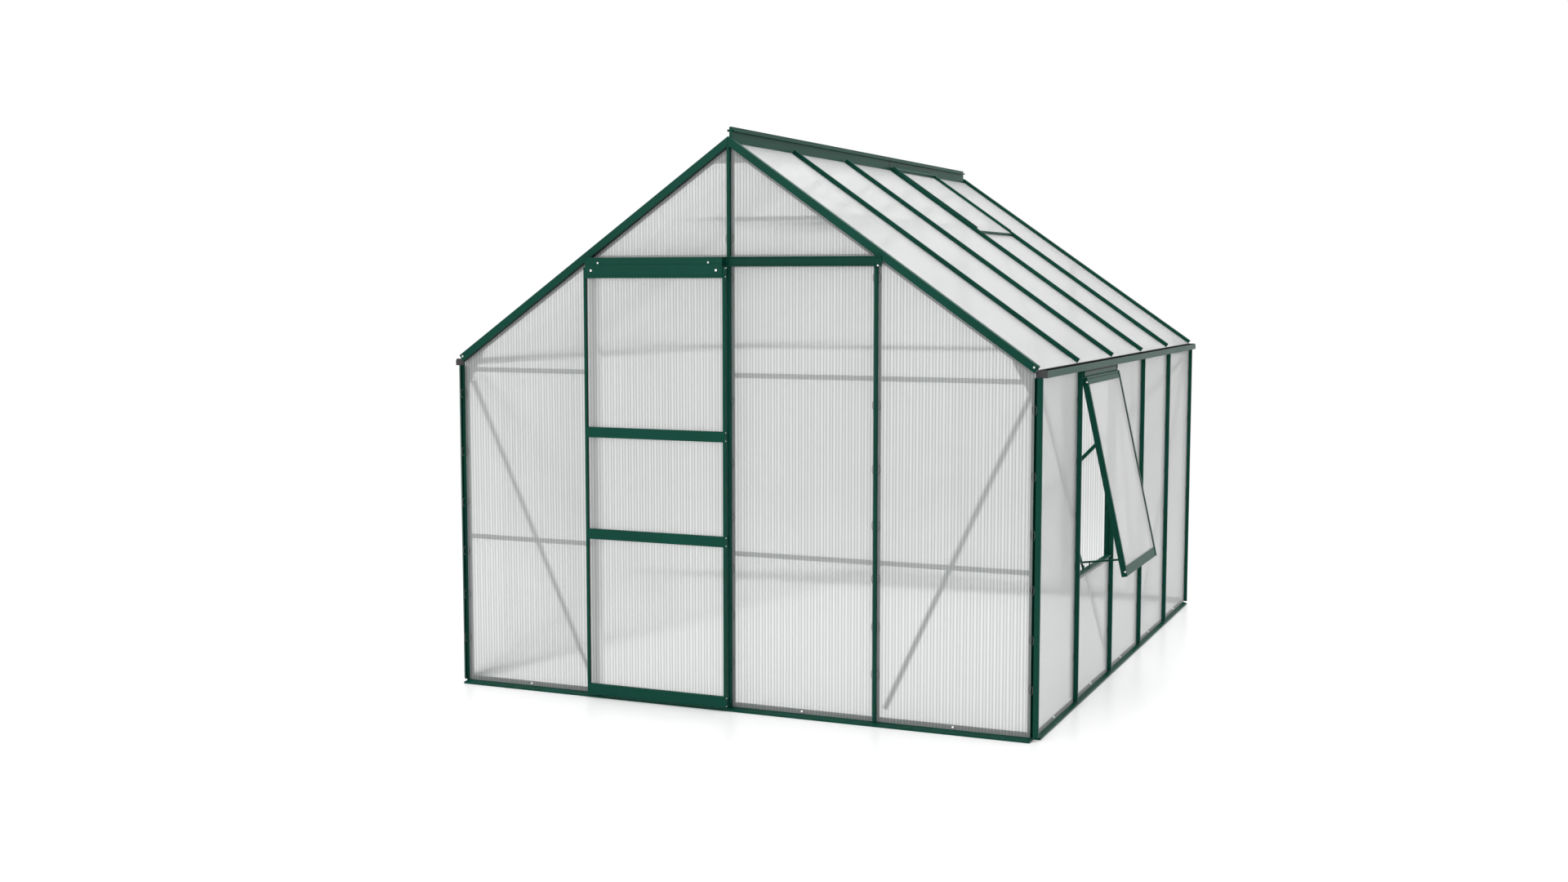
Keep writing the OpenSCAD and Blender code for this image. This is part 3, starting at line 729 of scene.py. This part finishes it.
class GREENHOUSE_OT_ridge(bpy.types.Operator):
    """Builds the ridge in two lengths with its vent hooks, its keel and the packing in its joint"""

    bl_idname = "greenhouse.ridge"
    bl_label = "Ridge"

    def execute(self, context):
        joint, gap = 1.874, 0.004
        low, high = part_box("ridge_beam")
        web = millimetres((6, 2273), (6, 2335), (13.5, 2335), (13.5, 2331), (15, 2331), (15, 2339),
                          (6, 2339), (6, 2348.5), (4.5, 2350))
        web = web + [(-x, z) for x, z in web[::-1]]
        keel = millimetres((13, 2234), (13, 2274), (-13, 2274), (-13, 2234), (-11, 2232), (-3.5, 2232),
                           (-3.5, 2234.5), (-9, 2234.5), (-9, 2246), (9, 2246), (9, 2234.5),
                           (3.5, 2234.5), (3.5, 2232), (11, 2232))
        shape = Shape()
        for start, end in ((low.y, joint - gap), (joint + gap, high.y - CLEAR)):
            shape.prism(web, lengthwise, start, end)
        shape.prism(keel, lengthwise, RAFTER_FLANGE + CLEAR, high.y)
        profile("ridge_beam", shape, "ridge_profile")
        packing = Shape()
        packing.prism(web, lengthwise, joint - gap, joint + gap)
        piece("ridge_packing", packing, "rubber_black")
        return {"FINISHED"}


class GREENHOUSE_OT_gutters(bpy.types.Operator):
    """Builds the gutters with their rolled lips and finishes their end caps"""

    bl_idname = "greenhouse.gutters"
    bl_label = "Gutters"

    def execute(self, context):
        section = millimetres((1260, 1380), (1300, 1380), (1300, 1404.8), (1298.8, 1406), (1295.4, 1406),
                              (1295.4, 1403.4), (1297, 1403.4), (1297, 1383), (1263, 1383),
                              (1263, 1393), (1260, 1393))
        low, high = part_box("right_gutter")
        for name, place in (("right_gutter", lengthwise), ("left_gutter", mirrored(lengthwise))):
            shape = Shape()
            shape.prism(section, place, low.y, high.y)
            profile(name, shape)
        finish(["gutter_end_caps"], "moulded_plastic_grey")
        return {"FINISHED"}


class GREENHOUSE_OT_strips(bpy.types.Operator):
    """Finishes the track, the header, the rails, the braces, the ties and the gusset plates"""

    bl_idname = "greenhouse.strips"
    bl_label = "Rails, braces and plates"

    def execute(self, context):
        finish(["door_track", "front_header", "front_rails", "back_rail", "front_braces", "back_braces",
                "left_wall_braces", "right_wall_braces", "roof_ties", "gusset_plates"])
        return {"FINISHED"}


# ---------- fasteners and seals ----------

CLIP_ZS = [0.20, 0.39, 0.58, 0.79, 1.01, 1.26]
POST_CLIP_Z = 1.753
MIDDLE_CLIP_Z = 1.909


def clip(shape, settings, side, u, v, hand, depth=SHEET_FRONT, reach=None):
    """Adds the arc of a glazing clip that springs from one flank of a nose onto the sheet."""
    place, steps, sunk = on(side), 12, 0.001
    radius = settings.wire / 2
    reach = reach or settings.clip_out
    path = []
    for k in range(steps + 1):
        turn = math.pi * k / steps
        out = NOSE - sunk + (reach + sunk) * math.sin(turn) ** 0.5
        path.append(place(u + hand * out, depth - radius - 0.0002,
                          v + settings.clip_high / 2 * math.cos(turn)))
    shape.tube(path, radius, outwards(side))


class GREENHOUSE_OT_clips(bpy.types.Operator):
    """Builds the wire clips that hold the sheets against the glazing bars"""

    bl_idname = "greenhouse.clips"
    bl_label = "Glazing clips"

    def execute(self, context):
        settings = context.scene.greenhouse_fasteners
        shape = Shape()
        for side in GABLES:
            for x in POST_XS:
                for z in CLIP_ZS + [POST_CLIP_Z] + ([] if x else [MIDDLE_CLIP_Z]):
                    for hand in HANDS:
                        clip(shape, settings, side, x, z, hand)
            # A clip on a corner post rounds the channel in the post's face too
            for z in CLIP_ZS:
                for hand in HANDS:
                    clip(shape, settings, side, hand * (HALF_W - SIDE_GAP + NOSE), z, -hand)
                    clip(shape, settings, side, hand * (HALF_W - SIDE_GAP - NOSE), z, hand, 0, 0.0095)
        for side in WALLS:
            for k, y in enumerate(BAR_YS):
                for z in CLIP_ZS:
                    for hand in HANDS:
                        beside_window = side == "right_wall" and k + (hand > 0) == WINDOW_BAY
                        if z < 0.5 or not beside_window:
                            clip(shape, settings, side, y, z, hand)
            for z in CLIP_ZS:
                clip(shape, settings, side, CORNER_GAP - NOSE, z, 1)
                clip(shape, settings, side, HOUSE_L - CORNER_GAP + NOSE, z, -1)
        piece("glazing_clips", shape, "spring_wire", smooth=True)
        return {"FINISHED"}


def nut(shape, settings, at, axis):
    """Adds a nut on a washer with the end of its bolt."""
    across, stud = settings.nut_across / 2, settings.stud / 2
    shape.turned([(across * 1.2, 0), (across * 1.2, 0.001)], at, axis, 16)
    corner = across / math.cos(math.pi / 6)
    shape.turned([(corner, 0.0008), (corner, 0.0048), (corner * 0.9, 0.0056)], at, axis, 6)
    shape.turned([(stud, 0.0050), (stud, 0.0082), (stud * 0.8, 0.0088)], at, axis, 12)


def round_head(shape, radius, at, axis):
    """Adds a domed head with a socket in it."""
    dome = [(1, 0), (1, 0.25), (0.85, 0.5), (0.55, 0.66), (0.32, 0.68), (0.28, 0.3)]
    shape.turned([(radius * r, radius * h) for r, h in dome], at, axis, 20)


class GREENHOUSE_OT_bolts(bpy.types.Operator):
    """Builds the nuts and bolts of the frame"""

    bl_idname = "greenhouse.bolts"
    bl_label = "Bolts"

    def execute(self, context):
        settings = context.scene.greenhouse_fasteners
        shape = Shape()
        # Heads on the front sill and nuts on the side sills
        for x in (-0.941, 0.313, 0.945):
            shape.turned([(0.0045, -0.001), (0.0045, 0.0015), (0.003, 0.0028)],
                         (x, 0.0165, 0.0215), (0, -1, 0.3), 12)
        for side in WALLS:
            for y in (0.297, 0.922, 1.501, 2.130, 2.778):
                nut(shape, settings, on(side)(y, 0.0178, 0.0285), outwards(side))
        corner_x, rail_z, plate_x, plate_z = 1.221, 1.372, 0.030, 2.215
        flange, channel = 0.029, 0.043
        # Heads at the feet of the rafters
        for side in GABLES:
            for hand in HANDS:
                round_head(shape, 0.0042, on(side)(hand * 1.2535, 0, 1.420), outwards(side))
        # Nuts on the inner side of the rail, the braces and the plate under the apex
        for side in GABLES:
            places = [(hand * corner_x, flange, z) for hand in HANDS for z in (1.320, rail_z)]
            places += [(x, channel, 1.363) for x in (POST_XS if side == "back" else POST_XS[1:])]
            places += [(plate_x, channel, plate_z), (-plate_x, channel, plate_z)]
            for at in places:
                nut(shape, settings, on(side)(*at), -outwards(side))
        for x in POST_XS[1:]:
            nut(shape, settings, on("front")(x, channel, 0.640), Vector((0, 1, 0)))
        # Head at the far end of the door's track
        round_head(shape, 0.004, (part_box("door_track")[1].x - 0.011, -0.014, 1.7995), (0, -1, 0))
        piece("frame_bolts", shape, "zinc_bright", smooth=True)
        return {"FINISHED"}


class GREENHOUSE_OT_seals_and_shade_strips(bpy.types.Operator):
    """Builds the black strips under the rafters, at the ends of the roof sheets and at the eaves, as rubber
    seals and as painted shade in those gaps
    """

    bl_idname = "greenhouse.seals"
    bl_label = "Seals"

    def execute(self, context):
        # Black rubber strip under each rafter, which also paints the shade in the gap between the rafter and
        # the sheet, in (depth below the roof, depth from the gable)
        strip = millimetres((32.6, 10), (34, 10.6), (35.4, 16), (35.4, 17.8), (32.6, 17.8))
        beside = NOSE + 2 * CLEAR
        spans = ((beside, GABLE_PITCH - beside), (GABLE_PITCH + beside, HALF_W - 0.031))
        shape = Shape()
        for side in GABLES:
            for hand in HANDS:
                for x0, x1 in spans:
                    shape.prism(strip, on_rafter(side, hand), beside_middle(x0), beside_middle(x1))
        piece("rafter_seals_painted_shade", shape, "rubber_black")
        # Black strip that closes the cells at the lower end of each roof sheet and also paints the dark line
        # of shade above the gutter's lip
        shape = Shape()
        foot, proud = down_slope(SHEET_REACH), 0.0008
        for side in ROOFS:
            for y0, y1 in BAYS:
                shape.prism(rectangle(y0, y1, SHEET_FRONT - proud, SHEET_BACK + proud), on(side),
                            foot - 0.002, foot + 0.0006)
        piece("roof_end_strips_painted_shade", shape, "rubber_black")
        # Black strip between the back leg of each gutter and the roof sheets: painted shade for the inside
        # of the gutter
        shape = Shape()
        eave = millimetres((1258, 1391), (1265, 1391), (1265, 1401), (1258, 1405.9))
        for place in (lengthwise, mirrored(lengthwise)):
            shape.prism(eave, place, CORNER_GAP, HOUSE_L - CORNER_GAP)
        piece("eave_painted_shade_strips", shape, "rubber_black")
        return {"FINISHED"}


# ---------- door ----------


def rail_section(foot, top):
    """Open channel in (depth, height) with its back to the inside of the house."""
    front, back, wall, lip, turn = DOOR_FRONT, DOOR_BACK, 0.0022, 0.005, 0.002
    half = [(front, foot), (back, foot), (back, foot + lip), (back - turn, foot + lip),
            (back - turn, foot + wall), (front + wall, foot + wall)]
    return half + [(y, foot + top - z) for y, z in half[::-1]]


def plate_section(low, high, bevel_z):
    """The door's top plate in (depth, height), with two fine grooves and broken outer edges."""
    y, groove, broken = low.y, 0.0008, 0.0006
    section = [(high.y, low.z), (high.y, bevel_z), (high.y, high.z), (y + broken, high.z),
               (y, high.z - broken), (y, bevel_z)]
    for z in (high.z - 0.026, low.z + 0.010):
        section += [(y, z + groove), (y + groove, z + groove / 2), (y + groove, z - groove / 2),
                    (y, z - groove)]
    return section + [(y, low.z + broken), (y + broken, low.z)]


class GREENHOUSE_OT_door(bpy.types.Operator):
    """Builds the sheets, rails, rollers, screws and the black seals of the sliding door, which also paint
    the shade beside its stiles
    """

    bl_idname = "greenhouse.door"
    bl_label = "Sliding door"

    def execute(self, context):
        left, right = DOOR_LEFT + STILE_W, DOOR_RIGHT - STILE_W
        glaze("door_sheets", "twin_wall_across_x", on("front"),
              [(left, right, foot, top) for foot, top in DOOR_PANES],
              near=-0.0265, far=-0.0215, body="door")
        shape = Shape()
        for foot, top in DOOR_RAILS:
            shape.prism(rail_section(foot, top), crosswise, left, right)
        profile("door_rails", shape, body="door")
        finish(["door_stiles"])

        # The top plate's outer top corner is bevelled; its section has the broken edges
        low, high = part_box("door_top_plate")
        bevel_x, bevel_h = 0.018, 0.014
        bevel_z = high.z - bevel_h
        shape = Shape()
        shape.prism(plate_section(low, high, bevel_z), crosswise,
                    lambda y, z: low.x + max(0.0, z - bevel_z) * bevel_x / bevel_h, high.x)
        piece("door_plate_profile", shape, "powder_coat_green", "door",
              ["door_top_plate"])

        bolts, rollers = Shape(), Shape()
        wheel = millimetres((10.5, 0), (12, 1), (12, 2.5), (9.8, 3.7), (9.8, 5.3), (12, 6.5), (12, 8),
                            (10.5, 9))
        axle_z, axle_inset = 1.8135, 0.070
        for x in (DOOR_LEFT + axle_inset, DOOR_RIGHT - axle_inset):
            rollers.turned(wheel, (x, -0.014, axle_z), (0, 1, 0), 32)
            rollers.turned([(0.004, 0), (0.004, 0.022)], (x, -0.036, axle_z), (0, 1, 0), 20)
            round_head(bolts, 0.0043, (x, low.y, axle_z), (0, -1, 0))
        piece("door_rollers_turned", rollers, "nylon_black", "door",
              ["door_rollers"], smooth=True)
        # Square-headed bolts of the top plate
        for x in (-0.600, -0.034):
            bolts.turned([(0.0062, 0), (0.0062, 0.002), (0.0052, 0.0028)], (x, low.y, 1.783),
                         (0, -1, 0), 4)
        # Screws that hold the rails to the stiles
        apart, screw_y = 0.0165, DOOR_FRONT + 0.0062
        for foot, top in DOOR_RAILS:
            for z in ((foot + top) / 2 - apart, (foot + top) / 2 + apart):
                for x, way in ((DOOR_LEFT, -1), (DOOR_RIGHT, 1)):
                    round_head(bolts, 0.0028, (x, screw_y, z), (way, 0, 0))
        piece("door_bolts", bolts, "zinc_bright", body="door", smooth=True)

        # Return on the back of both stiles, then the black rubber in front of the sheets, which also paints
        # the shade beside the stiles
        width = 0.0025
        shape = Shape()
        for x in (DOOR_LEFT + CLEAR, DOOR_RIGHT - CLEAR - width):
            shape.prism(rectangle(x, x + width, DOOR_BACK - 0.001, DOOR_BACK + 0.0085), on("front"),
                        0.018, 1.790)
        piece("door_returns", shape, "powder_coat_green", "door")
        shape = Shape()
        for foot, top in DOOR_PANES:
            for x in (left, right - width):
                shape.prism(rectangle(x, x + width, -0.0295, -0.0266), on("front"), foot, top)
        piece("door_seals_painted_shade", shape, "rubber_black", body="door")
        return {"FINISHED"}


# ---------- window and vent ----------


class GREENHOUSE_OT_window(bpy.types.Operator):
    """Builds the sash, the sheet, the seals and the bolts of the side window and finishes its frame"""

    bl_idname = "greenhouse.window"
    bl_label = "Side window"

    def execute(self, context):
        finish(["window_frame", "window_stay"])
        y0, y1 = SASH_START, SASH_END
        left, right = y0 + SASH_STILE, y1 - SASH_STILE
        pane_foot, pane_top = 0.040, SASH_L - 0.031
        # Stiles in (along, depth) with a groove down their outer sides, rails in (depth, height)
        stile = millimetres((0, 0), (0, 9), (1.4, 9.8), (1.4, 12.6), (0, 13.4), (0, 24), (15, 24), (15, 0))
        top_rail = millimetres((2, 793), (2, 814.5), (4.5, 815), (4.5, 816.5), (2, 817), (2, 824),
                               (22, 824), (22, 793))
        foot_rail = millimetres((2, 0), (2, 40), (22, 40), (22, 0))
        shape = Shape()
        for u, way in ((y0, 1), (y1, -1)):
            shape.prism([(u + way * p, q) for p, q in stile], on_sash, 0, SASH_L)
        for rail in (top_rail, foot_rail):
            shape.prism(rail, lambda q, v, u: on_sash(u, q, v), left, right)
        profile("window_sash", shape)
        glaze("window_sheet", "twin_wall_window", on_sash,
              [(left, right, pane_foot, pane_top)], near=0.003, far=0.009)

        # Rubber beside the sheet
        shape = Shape()
        width = 0.002
        for u in (left, right - width):
            shape.prism(rectangle(u, u + width, 0.0008, 0.0029), on_sash, pane_foot, pane_top)
        # Strip under the gutter with a block at its far end, and one on the far top corner of the sash
        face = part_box("window_frame")[1].x
        for start, foot in ((y0, 1.3722), (y1 - 0.012, 1.3625)):
            shape.prism(rectangle(face - 0.001, face + 0.0015, foot, 1.3795), lengthwise, start, y1)
        shape.prism(rectangle(y1 - CLEAR, y1 + 0.006, 0.004, 0.020), on_sash, SASH_L - 0.020, SASH_L - 0.002)
        piece("window_seals", shape, "rubber_black")

        # Wedge between the head of the opening and the sash
        shape = Shape()
        wedge = millimetres((1277, 1356.2), (1291, 1356.2), (1296, 1353.6), (1296, 1352.3), (1277, 1348.2))
        shape.prism(wedge, lengthwise, y0, y1)
        piece("window_hinge_profile", shape, "powder_coat_green")
        shape = Shape()
        for v in (0.020, SASH_L - 0.020):
            for u, way in ((y0, -1), (y1, 1)):
                round_head(shape, 0.0045, on_sash(u, 0.0055, v), Vector((0, way, 0)))
        piece("window_bolts", shape, "zinc_bright", smooth=True)
        return {"FINISHED"}


class GREENHOUSE_OT_vent(bpy.types.Operator):
    """Builds the sheet of the roof vent and finishes its frame"""

    bl_idname = "greenhouse.vent"
    bl_label = "Roof vent"

    def execute(self, context):
        finish(["vent_frame"])
        low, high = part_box("vent_sheet")
        hinge_x, top_rail = 0.020, 0.024
        sheet = (low.y, high.y, down_slope(hinge_x) + top_rail, down_slope(VENT_REACH) - CLEAR)
        glaze("vent_sheet", "twin_wall_across_y", on("right_roof"), [sheet], near=0.008, far=0.014)
        return {"FINISHED"}


# ---------- studio ----------


def lamp(name, at, target, size, power):
    """Adds a soft square lamp that the camera doesn't see."""
    data = bpy.data.lights.new(name, "AREA")
    data.shape = "SQUARE"
    data.size = size
    data.energy = power
    obj = in_scene(name, data)
    obj.location = at
    obj.rotation_euler = (Vector(target) - Vector(at)).to_track_quat("-Z", "Y").to_euler()
    obj.visible_camera = False


def studio_floor(settings):
    """A pale floor that turns to plain white away from the greenhouse."""
    size = settings.floor_size
    mesh = bpy.data.meshes.new("studio_floor")
    mesh.from_pydata([(x, y, 0) for x, y in rectangle(-size, size, -size, size)], [], [(0, 1, 2, 3)])
    mat, tree, bsdf = new_material("studio_floor_white")
    feed(tree, bsdf, {"Base Color": (*settings.floor_colour, 1), "Roughness": 0.3,
                      "Specular IOR Level": 0.3})
    seen = seen_rays(tree)
    # Lifts the floor to white where nothing shades it, for the eye alone
    lift = add(tree, "Emission", {"Strength": maths(tree, "MULTIPLY", seen, settings.floor_lift)})
    near = add(tree, "AddShader", {0: bsdf.outputs[0], 1: lift.outputs[0]})
    # Distance from the middle of the house decides how far the floor has turned white
    fade_start, fade_end = 2.6, 6.5
    place = add(tree, "TexCoord").outputs["Object"]
    reach = vector(tree, "DISTANCE", "Value", {0: place, 1: (0, HOUSE_L / 2, 0)})
    fade = add(tree, "MapRange", {"Value": reach, "From Min": fade_start, "From Max": fade_end},
               interpolation_type="SMOOTHSTEP")
    white = add(tree, "Emission", {"Strength": 1.0})
    shade = blend(tree, maths(tree, "MULTIPLY", fade.outputs["Result"], seen), near.outputs[0],
                  white.outputs[0])
    feed(tree, tree.nodes["Material Output"], {"Surface": shade})
    mesh.materials.append(mat)
    floor = in_scene("studio_floor", mesh)


def studio_world(settings):
    """White surroundings for the eye, softer ones for the light on the greenhouse."""
    world = bpy.data.worlds.new("studio")
    bpy.context.scene.world = world
    world.use_nodes = True
    tree = world.node_tree
    tree.nodes.clear()
    level = span(tree, seen_rays(tree), to_min=settings.sky, to_max=1.0)
    ground = add(tree, "Background", {"Color": (1, 1, 1, 1), "Strength": level})
    add(tree, "OutputWorld", {"Surface": ground.outputs[0]})


class GREENHOUSE_OT_stage(bpy.types.Operator):
    """Builds the floor, the surroundings, the lamps and the camera"""

    bl_idname = "greenhouse.stage"
    bl_label = "Studio"

    def execute(self, context):
        settings = context.scene.greenhouse_stage
        studio_floor(settings)
        studio_world(settings)
        lamp("top_lamp", (0, 1.5, 7), (0, 1.5, 0), 7, settings.top_power)
        lamp("front_lamp", (-3, -8, 4), (0, 0, 1), 5, settings.front_power)
        lens = bpy.data.cameras.new("camera")
        lens.lens = settings.lens
        lens.sensor_width = 36
        lens.clip_end = 500
        camera = in_scene("camera", lens)
        camera.location = (2.946, -6.3153, 1.7364)
        camera.rotation_euler = (math.pi / 2 - 0.0910, 0, 0.4045)
        context.scene.camera = camera
        context.scene.view_settings.view_transform = "Standard"
        return {"FINISHED"}


# ---------- panel and registration ----------

STEPS = [GREENHOUSE_OT_sheets, GREENHOUSE_OT_bars, GREENHOUSE_OT_corners, GREENHOUSE_OT_sills,
         GREENHOUSE_OT_ridge, GREENHOUSE_OT_gutters, GREENHOUSE_OT_strips, GREENHOUSE_OT_clips,
         GREENHOUSE_OT_bolts, GREENHOUSE_OT_seals_and_shade_strips, GREENHOUSE_OT_door, GREENHOUSE_OT_window,
         GREENHOUSE_OT_vent, GREENHOUSE_OT_stage]
SETTINGS = {"greenhouse_sheets": SheetSettings, "greenhouse_finishes": FinishSettings,
            "greenhouse_fasteners": FastenerSettings, "greenhouse_stage": StageSettings}


class GREENHOUSE_PT_panel(bpy.types.Panel):
    """Lists the greenhouse's settings and the steps that build it"""

    bl_idname = "GREENHOUSE_PT_panel"
    bl_label = "Polycarbonate Greenhouse"
    bl_space_type = "VIEW_3D"
    bl_region_type = "UI"
    bl_category = "Greenhouse"

    def draw(self, context):
        for key, group in SETTINGS.items():
            box = self.layout.box()
            box.label(text=group.__doc__)
            for name in group.__annotations__:
                box.prop(getattr(context.scene, key), name)
        for step in STEPS:
            self.layout.operator(step.bl_idname)


CLASSES = [*SETTINGS.values(), *STEPS, GREENHOUSE_PT_panel]


def register():
    for cls in CLASSES:
        bpy.utils.register_class(cls)
    for key, group in SETTINGS.items():
        setattr(bpy.types.Scene, key, PointerProperty(type=group))


def unregister():
    for key in SETTINGS:
        delattr(bpy.types.Scene, key)
    for cls in reversed(CLASSES):
        bpy.utils.unregister_class(cls)


def main():
    register()
    for step in STEPS:
        group, name = step.bl_idname.split(".")
        getattr(getattr(bpy.ops, group), name)()


if __name__ == "__main__":
    main()
